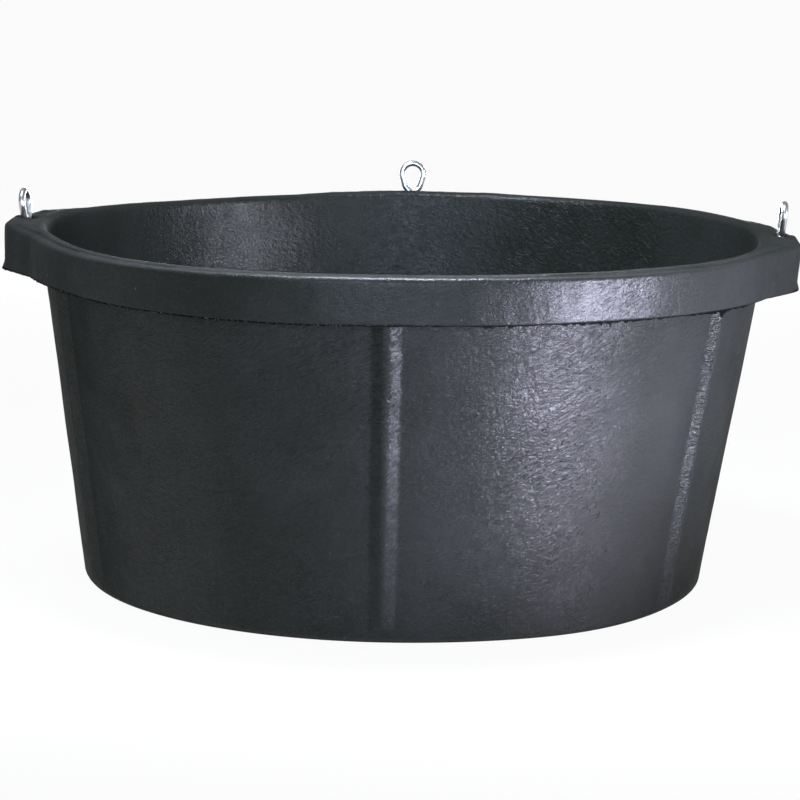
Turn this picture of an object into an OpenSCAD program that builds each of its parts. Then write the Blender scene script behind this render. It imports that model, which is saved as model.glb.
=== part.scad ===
// Rubber feed tub: one moulded tub with three ears on its rim, and an eye bolt,
// a washer and a nut in each ear, to hang or tie the tub by.
// Millimetres. The origin is the centre of the base's underside. +Z is up, the front
// faces -Y, and the ears are on the left (-X), the right (+X) and the rear (+Y).

/* [Tub] */
// Height from the base to the top of the rim
tub_h = 285; // [240:1:330]
// Outer radius of the wall, carried down to the base
base_r = 252; // [235:1:265]
// Thickness of the wall
wall_t = 7; // [5:0.5:9]
// Thickness of the floor
floor_t = 8; // [6:0.5:14]
// Rounding of the base's outer edge
base_round = 7; // [3:0.5:10]
// Rounding between the floor and the wall inside
floor_fillet = 15; // [8:1:25]

/* [Rim] */
// Outer radius of the rim
rim_r = 305; // [300:1:315]
// Height of the rim's band
rim_h = 37; // [34:1:44]
// How far the rim's underside stands out from the wall
rim_overhang = 16; // [12:1:20]
// Width of the bead on top of the rim
bead_w = 10; // [8.5:0.5:12]
// Height of the bead above the rim's shoulder
bead_h = 2; // [1.5:0.5:4]
// Rounding of the lip's inner edge
lip_round = 6; // [3:0.5:8]
// Rounding of the rim's shoulder
shoulder_round = 3; // [2:0.5:7]

/* [Ribs] */
// Angle from the front rib, and from the rear rib, to the ribs beside them
rib_angle = 62.5; // [50:0.5:70]
// Width of a rib under the rim
rib_w = 22; // [16:1:28]
// Width of a rib at its foot
rib_foot_w = 20; // [14:1:26]
// How far a rib stands out from the wall
rib_h = 5.5; // [4:0.5:8]
// Height of a rib's foot above the base
rib_foot = 9; // [8:1:30]

/* [Ears] */
// How far an ear stands out from the rim
ear_reach = 13; // [11:0.5:15]
// Width of an ear where its sides leave the rim
ear_root_w = 196; // [170:2:210]
// Width of an ear at its end
ear_end_w = 98; // [84:2:120]
// Rounding between an ear's top and its end
ear_round = 9; // [6:0.5:13]
// Rounding of an ear's corners, seen from above
ear_corner = 11; // [4:0.5:16]
// How far the lip at an ear's lower edge stands out
flare = 2; // [1:0.5:4]
// Height of that lip
flare_h = 7; // [4:0.5:10]
// Thickness of an ear above its pocket
ear_top_t = 15; // [13:0.5:18]
// Length of the pocket under an ear, along the rim
pocket_l = 60; // [30:1:75]
// Room between the washer and the pocket's outer side
pocket_out = 1; // [0.5:0.25:1.5]
// Room between the washer and the pocket's inner side
pocket_in = 3; // [1:0.25:4]

/* [Eye bolts] */
// Distance of an eye bolt from the rim's outer face
bolt_out = 1.5; // [1:0.5:3]
// Angle by which an eye bolt leans outwards
lean = 5; // [0:0.5:8]
// Diameter of the bent wire
wire_d = 5.2; // [4.5:0.1:5.6]
// Outer width of the loop
eye_w = 24.4; // [22:0.2:30]
// Outer width of the loop's lower end
eye_foot_w = 20; // [18:0.2:21]
// Height of the loop above the ear
eye_h = 28.5; // [24:0.5:36]
// Depth to which the loop is drawn into the ear
eye_sink = 1.5; // [1:0.25:2.5]
// Diameter of the threaded shank
shank_d = 6; // [5.8:0.1:6.2]
// Length of thread that shows past the nut
shank_tail = 4; // [2:0.5:7]
// Chamfer on the shank's end
shank_chamfer = 0.8; // [0.3:0.1:1.2]

/* [Washers and nuts] */
// Outer diameter of a washer
washer_d = 12; // [11:0.5:13]
// Thickness of a washer
washer_t = 1.6; // [1:0.1:2.4]
// Room between the shank and a washer's bore
washer_clear = 0.2; // [0.1:0.05:0.4]
// Width of a nut across its flats
nut_af = 10; // [9.5:0.5:11]
// Thickness of a nut
nut_t = 5; // [4:0.25:6]
// Chamfer on a nut's corners
nut_chamfer = 0.6; // [0.2:0.1:1]

/* [Fits] */
// Radial play of the shank in the ear and in the nut
shank_play = 0.05; // [0.02:0.01:0.1]
// Room between the loop and the dimple that it makes in the ear
dimple_clear = 0.3; // [0.3:0.05:0.6]
// Gap between a washer and the face that it seats on
seat_gap = 0.05; // [0.02:0.01:0.1]

/* [Hidden] */
$fn = 96;
// Points along each rounded stretch of an outline
arc_steps = 6;
// How far a cut runs past the faces that it opens
overrun = 5;
// The most of the rim's shoulder that its rounding takes up
shoulder_share = 0.95;
// Where the ears point, as angles from +X
left = 180;
right = 0;
rear = 90;
// The wall's slope, from the base to the rim's underside
rim_z = tub_h - rim_h;
slope = (rim_r - rim_overhang - base_r) / rim_z;
wall_lean = atan(slope);
// The wall's thickness, measured level
wall_level_t = wall_t / cos(wall_lean);
inner_base_r = base_r - wall_level_t;
// Radius of the rim's crest, and of the bead's outer side
crest_r = inner_base_r + slope * (tub_h - lip_round) + lip_round / cos(wall_lean);
bead_r = inner_base_r + slope * tub_h + bead_w;
bead_step = rim_r - bead_r;
// The shoulder's rounding, limited by the width that the bead leaves
shoulder_r = min(shoulder_round, bead_step * shoulder_share);
// An ear's end, and where its sides leave the rim
ear_end = rim_r + ear_reach;
ear_root = sqrt(pow(rim_r, 2) - pow(ear_root_w / 2, 2));
// An ear's side in plan: its angle from the radial line
ear_turn = atan2(ear_end - ear_root, (ear_root_w - ear_end_w) / 2);
// The eye bolt's place on an ear, at the level of the ear's top
bolt_r = rim_r + bolt_out;
seat_z = tub_h - (bolt_r - crest_r) * tan(lean);
// The loop's centre line: a large arc above, a small arc below
wire_r = wire_d / 2;
eye_r = eye_w / 2 - wire_r;
eye_foot_r = eye_foot_w / 2 - wire_r;
eye_z = eye_h - wire_r - eye_r;
eye_foot_z = eye_foot_r + wire_r - eye_sink;
eye_taper = asin((eye_r - eye_foot_r) / (eye_z - eye_foot_z));
eye_leg = (eye_z - eye_foot_z) * cos(eye_taper);
// How much thicker the wire is in its bends than in its legs, and how far a leg runs into a bend
bend_swell = 0.03;
leg_bite = 0.3;
// Levels below the ear's top, along the bolt
washer_z = -ear_top_t - seat_gap - washer_t;
nut_z = washer_z - nut_t;
shank_end = nut_z - shank_tail;
nut_corner_r = nut_af / 2 / cos(30);

// Radius of the wall's outer face at a height
function wall_r(z) = base_r + slope * z;

// Points along an arc, from one angle to another
function arc(centre, radius, from, to) = [
    for (i = [0 : arc_steps])
        let (a = from + (to - from) * i / arc_steps)
            centre + radius * [cos(a), sin(a)]
];

// The rounding where a level face meets the wall above it
function foot_arc(line_r, z, radius) = arc(
    [line_r + slope * (z + radius) - radius / cos(wall_lean), z + radius],
    radius, -90, -wall_lean);

// Outline of the tub without its hollow
function outer_outline() = concat(
    [[0, 0]],
    foot_arc(base_r, 0, base_round),
    [[wall_r(rim_z), rim_z], [rim_r, rim_z]],
    arc([rim_r - shoulder_r, tub_h - bead_h - shoulder_r], shoulder_r, 0, 90),
    [[bead_r, tub_h - bead_h]],
    arc([bead_r - bead_h, tub_h - bead_h], bead_h, 0, 90),
    [[0, tub_h]]);

// Outline of the hollow, open at the top
function hollow_outline() = concat(
    [[0, floor_t]],
    foot_arc(inner_base_r, floor_t, floor_fillet),
    arc([crest_r, tub_h - lip_round], lip_round, 180 - wall_lean, 90),
    [[crest_r, tub_h + overrun], [0, tub_h + overrun]]);

// Plan of an ear, its sides drawn in by an inset
function ear_plan(inset) =
    let (in_u = ear_root - inset,
         in_t = ear_root_w / 2 + inset / tan(ear_turn) - inset / sin(ear_turn),
         end_t = ear_end_w / 2 - inset / sin(ear_turn),
         c = ear_end - ear_corner,
         ct = end_t - ear_corner * tan(ear_turn / 2),
         near = arc([c, -ct], ear_corner, -ear_turn, 0),
         far = arc([c, ct], ear_corner, 0, ear_turn))
    concat([[in_u, in_t], [in_u, -in_t]], near, far);

// Side view of an ear, its top lowered by a drop
function ear_side(drop) =
    let (in_u = ear_root - bead_step,
         top_z = seat_z - drop,
         c = ear_end - ear_round,
         cz = top_z - (c - bolt_r) * tan(lean) - ear_round / cos(lean))
    concat(
        [[in_u, rim_z], [ear_end, rim_z]],
        arc([c, cz], ear_round, 0, 90 - lean),
        [[in_u, top_z + (bolt_r - in_u) * tan(lean)]]);

// One layer of an ear: its plan, cut to its side view and to a highest level
module ear_layer(inset, drop, top) {
    intersection() {
        translate([0, 0, rim_z])
            linear_extrude(top - rim_z)
                polygon(ear_plan(inset));
        rotate([90, 0, 0])
            linear_extrude(ear_root_w + overrun, center = true)
                polygon(ear_side(drop));
    }
}

// The lip along the lower edge of an ear's end
module ear_lip() {
    rotate([90, 0, 0])
        linear_extrude(ear_end_w - 2 * ear_corner, center = true)
            polygon([[ear_end - flare_h, rim_z], [ear_end + flare, rim_z], [ear_end + flare, rim_z + flare],
                     [ear_end, rim_z + flare_h], [ear_end - flare_h, rim_z + flare_h]]);
}

module ear(azimuth) {
    rotate([0, 0, azimuth]) {
        ear_layer(0, bead_h, tub_h - bead_h);
        ear_layer(bead_step, 0, tub_h);
        ear_lip();
    }
}

// Places a shape on an ear's bolt: its own Z runs up along the bolt from the ear's top
module at_bolt(azimuth) {
    rotate([0, 0, azimuth])
        translate([bolt_r, 0, seat_z])
            rotate([0, lean, 0])
                children();
}

// The dimple, the bore and the pocket that an ear has for its eye bolt
module ear_cuts(azimuth) {
    held_r = max(washer_d / 2, nut_corner_r);
    pocket_w = 2 * held_r + pocket_out + pocket_in;
    pocket_x = (pocket_out - pocket_in) / 2;
    half = (pocket_l - pocket_w) / 2;
    at_bolt(azimuth) {
        translate([0, 0, eye_foot_z])
            sphere(eye_foot_w / 2 + dimple_clear);
        translate([0, 0, -ear_top_t - overrun])
            cylinder(h = ear_top_t + overrun, r = shank_d / 2 + shank_play);
        translate([pocket_x, 0, -ear_top_t - rim_h])
            linear_extrude(rim_h)
                union() {
                    square([pocket_w, 2 * half], center = true);
                    for (side = [-1, 1])
                        translate([0, side * half])
                            circle(d = pocket_w);
                }
    }
}

// A half-round rib, laid along the wall from its foot to the rim
module rib(angle) {
    foot_z = rib_foot;
    top_z = rim_z + rim_h / 2;
    foot_r = (pow(rib_foot_w / 2, 2) + pow(rib_h, 2)) / (2 * rib_h);
    top_r = (pow(rib_w / 2, 2) + pow(rib_h, 2)) / (2 * rib_h);
    foot_x = wall_r(foot_z) + rib_h - foot_r;
    top_x = wall_r(top_z) + rib_h - top_r;
    run = [top_x - foot_x, top_z - foot_z];
    rotate([0, 0, angle - 90])
        translate([foot_x, 0, foot_z])
            rotate([0, atan2(run[0], run[1]), 0])
                cylinder(h = norm(run), r1 = foot_r, r2 = top_r);
}

// What is cut from the ribs' feet, so that each ends in a slope
module rib_foot_cut() {
    near_r = wall_r(rib_foot) - wall_t;
    far_r = wall_r(rib_foot) + 2 * rib_h;
    rotate_extrude()
        polygon([[near_r, rib_foot - wall_t], [near_r, -overrun], [far_r, -overrun],
                 [far_r, rib_foot + 2 * rib_h]]);
}

module ribs() {
    difference() {
        for (from = [0, 180], turn = [-rib_angle, 0, rib_angle])
            rib(from + turn);
        rib_foot_cut();
    }
}

module tub() {
    color("#26282b")
        difference() {
            union() {
                rotate_extrude()
                    polygon(outer_outline());
                ribs();
                for (a = [left, right, rear])
                    ear(a);
            }
            rotate_extrude()
                polygon(hollow_outline());
            for (a = [left, right, rear])
                ear_cuts(a);
        }
}

// The loop, drawn in the plane of X and Y with Y along the bolt
module eye_loop() {
    translate([0, eye_z])
        rotate([0, 0, -eye_taper])
            rotate_extrude(angle = 180 + 2 * eye_taper)
                translate([eye_r, 0])
                    circle(r = wire_r);
    translate([0, eye_foot_z])
        rotate([0, 0, 180 + eye_taper])
            rotate_extrude(angle = 180 - 2 * eye_taper)
                translate([eye_foot_r, 0])
                    circle(r = wire_r);
    for (side = [-1, 1])
        translate([side * eye_foot_r * cos(eye_taper), eye_foot_z - eye_foot_r * sin(eye_taper)])
            rotate([-90, 0, -side * eye_taper])
                translate([0, 0, -leg_bite])
                    cylinder(h = eye_leg + 2 * leg_bite, r = wire_r - bend_swell);
}

module eye_bolt(azimuth) {
    color("#c9ccd0")
        at_bolt(azimuth) {
            rotate([90, 0, 90])
                eye_loop();
            translate([0, 0, shank_end + shank_chamfer])
                cylinder(h = wire_r - eye_sink - shank_end - shank_chamfer, d = shank_d);
            translate([0, 0, shank_end])
                cylinder(h = shank_chamfer, d1 = shank_d - 2 * shank_chamfer, d2 = shank_d);
        }
}

module washer(azimuth) {
    color("#b4b8bc")
        at_bolt(azimuth)
            translate([0, 0, washer_z])
                difference() {
                    cylinder(h = washer_t, d = washer_d);
                    translate([0, 0, -overrun])
                        cylinder(h = washer_t + 2 * overrun, r = shank_d / 2 + washer_clear);
                }
}

module nut(azimuth) {
    color("#bfc3c7")
        at_bolt(azimuth)
            translate([0, 0, nut_z])
                difference() {
                    intersection() {
                        cylinder(h = nut_t, r = nut_corner_r, $fn = 6);
                        rotate_extrude()
                            polygon([[0, 0], [nut_corner_r - nut_chamfer, 0], [nut_corner_r, nut_chamfer],
                                     [nut_corner_r, nut_t - nut_chamfer],
                                     [nut_corner_r - nut_chamfer, nut_t], [0, nut_t]]);
                    }
                    translate([0, 0, -overrun])
                        cylinder(h = nut_t + 2 * overrun, r = shank_d / 2 + shank_play);
                }
}

tub();
eye_bolt(left);  // eye_bolt_left
eye_bolt(right);  // eye_bolt_right
eye_bolt(rear);  // eye_bolt_rear
washer(left);  // washer_left
washer(right);  // washer_right
washer(rear);  // washer_rear
nut(left);  // nut_left
nut(right);  // nut_right
nut(rear);  // nut_rear
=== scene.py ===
import math

import bpy
import numpy as np
from mathutils import Matrix, Vector


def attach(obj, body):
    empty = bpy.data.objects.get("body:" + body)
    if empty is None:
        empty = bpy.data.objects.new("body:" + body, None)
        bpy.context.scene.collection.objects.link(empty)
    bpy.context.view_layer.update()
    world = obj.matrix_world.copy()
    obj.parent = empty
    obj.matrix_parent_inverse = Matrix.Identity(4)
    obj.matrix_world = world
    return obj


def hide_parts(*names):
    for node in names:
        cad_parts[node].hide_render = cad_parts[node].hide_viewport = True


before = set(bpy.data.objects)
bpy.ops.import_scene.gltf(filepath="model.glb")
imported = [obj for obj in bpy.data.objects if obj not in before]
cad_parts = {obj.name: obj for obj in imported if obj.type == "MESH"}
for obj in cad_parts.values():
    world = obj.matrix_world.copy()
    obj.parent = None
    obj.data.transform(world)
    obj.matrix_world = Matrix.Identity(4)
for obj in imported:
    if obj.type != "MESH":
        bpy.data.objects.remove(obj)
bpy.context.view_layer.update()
print("frame:", len(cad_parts), "nodes")

mm = 0.001
fullTurn = 2 * math.pi
farOff = 1e3  # a length beyond everything here, to rule a place out


# small mesh helpers

def makeMesh(name, points, faces):
    mesh = bpy.data.meshes.new(name)
    mesh.from_pydata([tuple(p) for p in points], [], faces)
    mesh.update()
    obj = bpy.data.objects.new(name, mesh)
    bpy.context.scene.collection.objects.link(obj)
    return obj


def smoothShade(obj, sharpDegrees):
    mesh = obj.data
    mesh.polygons.foreach_set("use_smooth", np.ones(len(mesh.polygons), bool))
    mesh.set_sharp_from_angle(angle=math.radians(sharpDegrees))
    mesh.update()


def ease(low, high, x):
    share = np.clip((x - low) / (high - low), 0, 1)
    return share * share * (3 - 2 * share)


def softMax(a, b, width):
    h = np.clip(0.5 + 0.5 * (a - b) / width, 0, 1)
    return b + (a - b) * h + width * h * (1 - h)


def softMin(a, b, width):
    return -softMax(-a, -b, width)


def cellValue(ix, iy, iz, seed):
    # a mixed-up value from 0 to 1 for one cell, the same in each run
    h = (ix * 374761393 + iy * 668265263 + iz * 1440662683 + seed * 974634777) & 0xFFFFFFFF
    h = ((h ^ (h >> 13)) * 1274126177) & 0xFFFFFFFF
    h = ((h ^ (h >> 15)) * 2246822519) & 0xFFFFFFFF
    return (h ^ (h >> 16)) / 0xFFFFFFFF


def lumps(x, y, z, size, seed):
    # smooth random lumps from -1 to 1, about one per size
    places = [np.asarray(v, float) / size for v in (x, y, z)]
    cells = [np.floor(p).astype(np.int64) for p in places]
    steps = [p - c for p, c in zip(places, cells)]
    steps = [f * f * f * (f * (f * 6 - 15) + 10) for f in steps]
    total = 0.0
    for dx in (0, 1):
        for dy in (0, 1):
            for dz in (0, 1):
                share = ((steps[0] if dx else 1 - steps[0])
                         * (steps[1] if dy else 1 - steps[1])
                         * (steps[2] if dz else 1 - steps[2]))
                total = total + share * cellValue(cells[0] + dx, cells[1] + dy, cells[2] + dz, seed)
    return 2 * total - 1


def layeredLumps(x, y, z, layers):
    # layers of (share, size, squeeze upwards, seed)
    return sum(share * lumps(x, y, z * squeeze, size, seed) for share, size, squeeze, seed in layers)


def bridgeRings(lower, upper):
    # faces between two rings of point numbers, of which one may have twice as many points
    n, m = len(lower), len(upper)
    faces = []
    if n == m:
        for i in range(n):
            j = (i + 1) % n
            faces.append((lower[i], lower[j], upper[j], upper[i]))
    elif m == 2 * n:
        for i in range(n):
            j = (i + 1) % n
            a, b, c = upper[2 * i], upper[2 * i + 1], upper[(2 * i + 2) % m]
            faces += [(lower[i], b, a), (lower[i], lower[j], b), (lower[j], c, b)]
    else:
        for i in range(m):
            j = (i + 1) % m
            a, b, c = lower[2 * i], lower[2 * i + 1], lower[(2 * i + 2) % n]
            faces += [(a, b, upper[i]), (b, upper[j], upper[i]), (b, c, upper[j])]
    return faces


def bridgeRows(row, after, n):
    # faces between two numbered rows of n points each, turned the other way
    faces = []
    for i in range(n):
        j = (i + 1) % n
        faces.append((row * n + i, after * n + i, after * n + j, row * n + j))
    return faces


# camera

cameraSet = {
    "place": (0.0687, -2.491, 0.562), "target": (0.0, 0.0, 0.143),
    "lens": 138.6, "sensor": 36, "rollDegrees": 0.866,
}


def makeCamera():
    data = bpy.data.cameras.new("camera")
    data.lens = cameraSet["lens"]
    data.sensor_width = cameraSet["sensor"]
    cam = bpy.data.objects.new("camera", data)
    bpy.context.scene.collection.objects.link(cam)
    place = Vector(cameraSet["place"])
    ahead = Vector(cameraSet["target"]) - place
    turn = ahead.to_track_quat("-Z", "Y").to_matrix().to_4x4()
    roll = Matrix.Rotation(math.radians(cameraSet["rollDegrees"]), 4, "Z")
    cam.matrix_world = Matrix.Translation(place) @ turn @ roll
    bpy.context.scene.camera = cam


makeCamera()
print("camera set")


# the tub, in millimetres as in the part's source

tubShape = {
    "height": 285, "baseR": 252, "wall": 7, "floor": 8, "baseRound": 7, "floorFillet": 15,
    # rim
    "rimR": 305, "rimHeight": 37, "overhang": 16, "lowEdge": 1.2, "rootRound": 0.6, "lipRound": 6,
    "beadWidth": 10, "beadHeight": 2, "beadBlend": 0.5, "shoulder": 3, "frontShoulder": 6, "roundShare": 0.6,
    # share of the bead's height round the rim, by degrees from the front
    "lipStep": [(0, 0.15), (12, 0.3), (32, 0.8), (60, 1), (290, 1), (320, 0.8), (338, 0.25)],
    # ribs: degrees round from the front, under the rim, and how many degrees further each foot is turned
    "ribTurns": [-64.7, -0.4, 59.2, 117.5, 180, 242.5],
    "ribLeans": [0, 0.4, -1.1, 0, 0, 0],
    "ribWidth": 22, "ribFootWidth": 20, "ribHeight": 5.5, "ribFoot": 9, "ribFlank": 31,
    "ridgeDrop": 0.2, "ridgeRound": 0.9, "creaseRound": 0.4,
    # ears, of which the side ones have rounder rear corners
    "earReach": 13, "earRootWidth": 196, "earEndWidth": 98, "earBlend": 1.2, "plateBlend": 0.8,
    "earRound": {"left": 5.5, "right": 11, "rear": 9},
    "earRear": {"left": -1, "right": 1, "rear": 0},  # which way along each ear its rear corner lies
    "corner": 5, "cornerMore": 16, "cornerOver": (0, 30),
    "flare": 2, "flareHeight": 7, "flareFrom": 0.6, "flareOver": (36, 62), "flareLeast": 0.02,
    "earTop": 15, "pocketLength": 60, "pocketOut": 1, "pocketIn": 3, "pocketDown": 60,
    "boltOut": 1.5, "lean": 5, "boreR": 3.1, "boreDown": 5, "boreUp": 4, "washerR": 6,
    "dimpleR": 10.8, "dimpleUp": 8.5, "dimpleSlope": 2, "dimpleEdge": 0.5,
    # how the soft rim rises and sags, at its top and at its lower edge: degrees from the front, millimetres
    "topSag": [(20, -1.4), (65, -3), (78, -2.7), (99, 1.8), (128, 1.8), (146, 0.5), (161, 0.2), (183, 1.4),
               (200, -2), (224, -3.6), (243, -0.7), (257, 2.5), (265, 3.2), (292, 1.4), (305, -1.9),
               (318, -3.1), (335, -3), (353, -1.8)],
    "lowSag": [(2, 0), (28, 0), (80, -2.8), (100, -2.5), (128, 1), (146, 0.4), (176, 0.8), (212, -1.8),
               (234, -1), (256, 3.4), (264, 3.8), (290, 3.5), (303, 2.4), (315, -0.5), (332, -1.6),
               (346, -1.7)],
    "sagFrom": 80, "sagBlur": 3.0,  # height where the sag begins, and degrees over which it is smoothed
    "skew": 4.4, "skewBlend": 0.1,  # how far the soft base sits to the left of the rim
    "earTilt": {"left": 3.0, "right": 1.0, "rear": 0},  # how far each ear's end is bent up
    "tiltOut": (293, 316), "tiltBeside": (9, 18),
    "droop": 0.09, "droopFrom": 262, "droopOut": (309, 316),  # how far the right ear's end face leans
    "cornerDroop": 3.0, "cornerOut": (300, 313), "cornerBack": (2, 32),  # the rear corners hang
    "footBulge": 4.5,  # how far the foot of the wall bulges at the front right
    "bulgeTurn": 38, "bulgeWide": 18, "bulgeHigh": 110, "bulgeOut": (120, 240),
    # unevenness in millimetres, from layers of (share, size, squeeze upwards, seed)
    "wallWobble": 0.55, "wallLayers": [(0.7, 95, 1, 1), (0.45, 42, 1, 2)],
    "grain": 0.10, "grainLayers": [(1, 9, 1, 3)],
    "rimWobble": 0.22, "rimLayers": [(1, 13, 0.35, 4), (0.6, 6.5, 0.5, 5)], "rimOut": (296, 301), "rimUp": 6,
    "topWobble": 0.25, "topOut": (286, 292), "topDepths": (9, 2),
    "flatBase": (1, 6), "flatFloor": (5, 12), "flatFloorR": 234, "boltClear": (9, 16),
    # columns of the mesh: degrees between them, and closer ones: (degrees, all within, none beyond)
    "columns": 1088, "columnGap": 0.50, "ribColumns": (0.14, 2.4, 3.6), "ribFollow": (3.2, 9.0),
    "earColumns": (0.26, 19.5, 22), "boltColumns": (0.13, 2.0, 3.2),
    # rows of the mesh, from the middle of the base out, up, over the rim and down to the floor
    "rows": {
        "base": (14, 40, 80, 130, 180, 220), "arc": 7,
        "foot": (8.5, 10.5, 12.5, 14.5, 16.5, 19, 23, 28), "wall": (36, 236, 24),
        "belowRim": (7, 3.5, 2.2), "underRim": (0.16, 0.5, 0.84), "edge": (-88, -55, -25),
        "face": (0.0, 0.045, 0.10, 0.17, 0.27, 0.40, 0.55, 0.70, 0.85, 1.0),
        "shoulder": (14, 27, 40, 53, 66, 78, 90), "top": 16, "lip": 7,
        "insideTop": 273.5, "inside": (266, 27, 27), "floor": (220, 195, 165, 135, 105, 75, 45, 18),
    },
    "sharpDegrees": 55,
}
t = tubShape  # read all through the tub's functions
rimZ = t["height"] - t["rimHeight"]
bandLow, bandIn, bandTop = rimZ - 2, rimZ + 2, t["height"] - 1  # heights between which the rim's bends fade
slope = (t["rimR"] - t["overhang"] - t["baseR"]) / rimZ
wallLean = math.atan(slope)
innerBaseR = t["baseR"] - t["wall"] / math.cos(wallLean)
crestR = innerBaseR + slope * (t["height"] - t["lipRound"]) + t["lipRound"] / math.cos(wallLean)
beadR = innerBaseR + slope * t["height"] + t["beadWidth"]
beadStep = t["rimR"] - beadR
earEnd = t["rimR"] + t["earReach"]
earRoot = math.sqrt(t["rimR"] ** 2 - (t["earRootWidth"] / 2) ** 2)
earTurn = math.atan2(earEnd - earRoot, (t["earRootWidth"] - t["earEndWidth"]) / 2)
earSpan = 0.5  # radians, more than half of what an ear takes up
boltR = t["rimR"] + t["boltOut"]
boltLean = math.radians(t["lean"])
leanSlope = math.tan(boltLean)
seatZ = t["height"] - (boltR - crestR) * leanSlope
dimpleX = boltR + t["dimpleUp"] * math.sin(boltLean)
dimpleZ = seatZ + t["dimpleUp"] * math.cos(boltLean)
earAngles = {"left": math.pi, "right": 0.0, "rear": math.pi / 2}
ribAngles = [math.radians(turn - 90) for turn in t["ribTurns"]]


def ribsAt(z):
    # the ribs' angles at a height
    down = 1 - z / rimZ
    return [np.radians(turn + lean * down - 90) for turn, lean in zip(t["ribTurns"], t["ribLeans"])]


def ribWidthAt(z):
    return t["ribFootWidth"] + (t["ribWidth"] - t["ribFootWidth"]) * z / rimZ


def turnFrom(angle, centre):
    return (angle - centre + math.pi) % fullTurn - math.pi


def columnAngles(count):
    # columns stand closer on the ribs, the ears and round the bolts
    samples = 40001
    a = np.linspace(-math.pi, math.pi, samples)
    dense = np.full(a.shape, 1 / t["columnGap"])
    closer = [(rib, t["ribColumns"]) for rib in ribAngles]
    for ear in earAngles.values():
        closer += [(ear, t["earColumns"]), (ear, t["boltColumns"])]
    for middle, (gap, near, far) in closer:
        d = np.degrees(np.abs(turnFrom(a, middle)))
        dense = np.maximum(dense, (1 / gap) * (1 - ease(near, far, d)))
    total = np.concatenate([[0], np.cumsum((dense[1:] + dense[:-1]) / 2)])
    return np.interp((np.arange(count) + 0.5) / count * total[-1], total, a)


def outerWall(z):
    return t["baseR"] + slope * z


def innerWall(z):
    return innerBaseR + slope * z


def rimTable(keys):
    # the keys at each half degree, smoothed round the rim
    turns = np.arange(720) / 2
    reach = 30
    keys = np.array(keys)
    plain = np.interp(turns, keys[:, 0], keys[:, 1], period=360)
    weights = np.exp(-0.5 * ((np.arange(-reach, reach + 1) / 2) / t["sagBlur"]) ** 2)
    padded = np.concatenate([plain[-reach:], plain, plain[:reach]])
    return turns, np.convolve(padded, weights / weights.sum(), "valid")


topSag = rimTable(t["topSag"])
lowSag = rimTable(t["lowSag"])
lipStep = rimTable(t["lipStep"])


def roundRim(table, angle):
    return np.interp(np.degrees(angle) + 90, *table, period=360)


def sag(angle, r, z):
    # how far the soft rim has risen at a place
    share = ease(bandLow, bandTop, z)
    lift = share * roundRim(topSag, angle) + (1 - share) * roundRim(lowSag, angle)
    for ear, tilt in t["earTilt"].items():
        beside = np.degrees(np.abs(turnFrom(angle, earAngles[ear])))
        lift = lift + share * tilt * ease(*t["tiltOut"], r) * (1 - ease(*t["tiltBeside"], beside))
    return lift * ease(t["sagFrom"], bandLow, z)


def alongRibs(angle, z):
    # near a rib the columns run beside it, so that its creases are clean
    narrow = ribWidthAt(z) / t["ribWidth"]
    pull = narrow * outerWall(rimZ) / outerWall(z) - 1
    out = angle.copy()
    for rib, here in zip(ribAngles, ribsAt(z)):
        d = turnFrom(angle, rib)
        out += (pull * d + here - rib) * (1 - ease(*t["ribFollow"], np.degrees(np.abs(d))))
    return out


def ribSwell(angle, z):
    # how far the ribs stand out from the wall: flat flanks and a rounded ridge
    out = np.zeros(np.broadcast(angle, z).shape)
    half = ribWidthAt(z) / 2
    for rib in ribsAt(z):
        d = turnFrom(angle, rib)
        side = np.where(np.cos(d) > 0, np.sin(d) * outerWall(z), farOff)
        flank = (half - np.abs(side)) * math.tan(math.radians(t["ribFlank"]))
        ridge = np.full(flank.shape, t["ribHeight"] - t["ridgeDrop"])
        crown = np.minimum(softMin(flank, ridge, t["ridgeRound"]), z - t["ribFoot"])
        out = np.maximum(out, softMax(crown, crown * 0, t["creaseRound"]))
    return out


def earDistances(u, side):
    # distance inside an ear's slanted side and inside its end
    beyond = np.abs(side) - t["earRootWidth"] / 2
    across = -((u - earRoot) * math.cos(earTurn) + beyond * math.sin(earTurn))
    return across, earEnd - u


def rearShare(ear, side):
    # 1 towards a side ear's rear corner, 0 on the rest of it
    return ease(*t["cornerOver"], t["earRear"][ear] * side)


def alongEar(angle, earAngle):
    # distance along an ear's lip from the ear's middle
    d = turnFrom(angle, earAngle)
    return np.abs(np.sin(d)) * (earEnd + t["flare"]) + farOff * (np.cos(d) < 0)


def faceRadius(angle):
    # radius of the rim's outer face, ears included, found by halving a span of radii
    lowest, highest, halvings = 270.0, 340.0, 40
    noEar = 200.0
    out = np.full(angle.shape, float(t["rimR"]))
    for ear, earAngle in earAngles.items():
        d = turnFrom(angle, earAngle)
        low, high = np.full(angle.shape, lowest), np.full(angle.shape, highest)
        corner = t["corner"] + t["cornerMore"] * rearShare(ear, earEnd * np.sin(d))
        for _ in range(halvings):
            mid = (low + high) / 2
            across, end = earDistances(mid * np.cos(d), mid * np.sin(d))
            inside = softMin(across, end, corner) > 0
            low, high = np.where(inside, mid, low), np.where(inside, high, mid)
        reach = np.where(np.abs(d) < earSpan, low, noEar)
        out = softMax(out, reach, t["earBlend"])
    return out


def edgeDrop(d, radius):
    # how far a rounded edge lies below its top, at a distance in from the edge
    d = np.clip(d, 0, radius)
    return radius - np.sqrt(np.maximum(radius ** 2 - (radius - d) ** 2, 0))


def shoulderAt(angle):
    # the shoulder's rounding, fuller at the front
    share = roundRim(lipStep, angle)
    return t["shoulder"] * share + t["frontShoulder"] * (1 - share)


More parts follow.
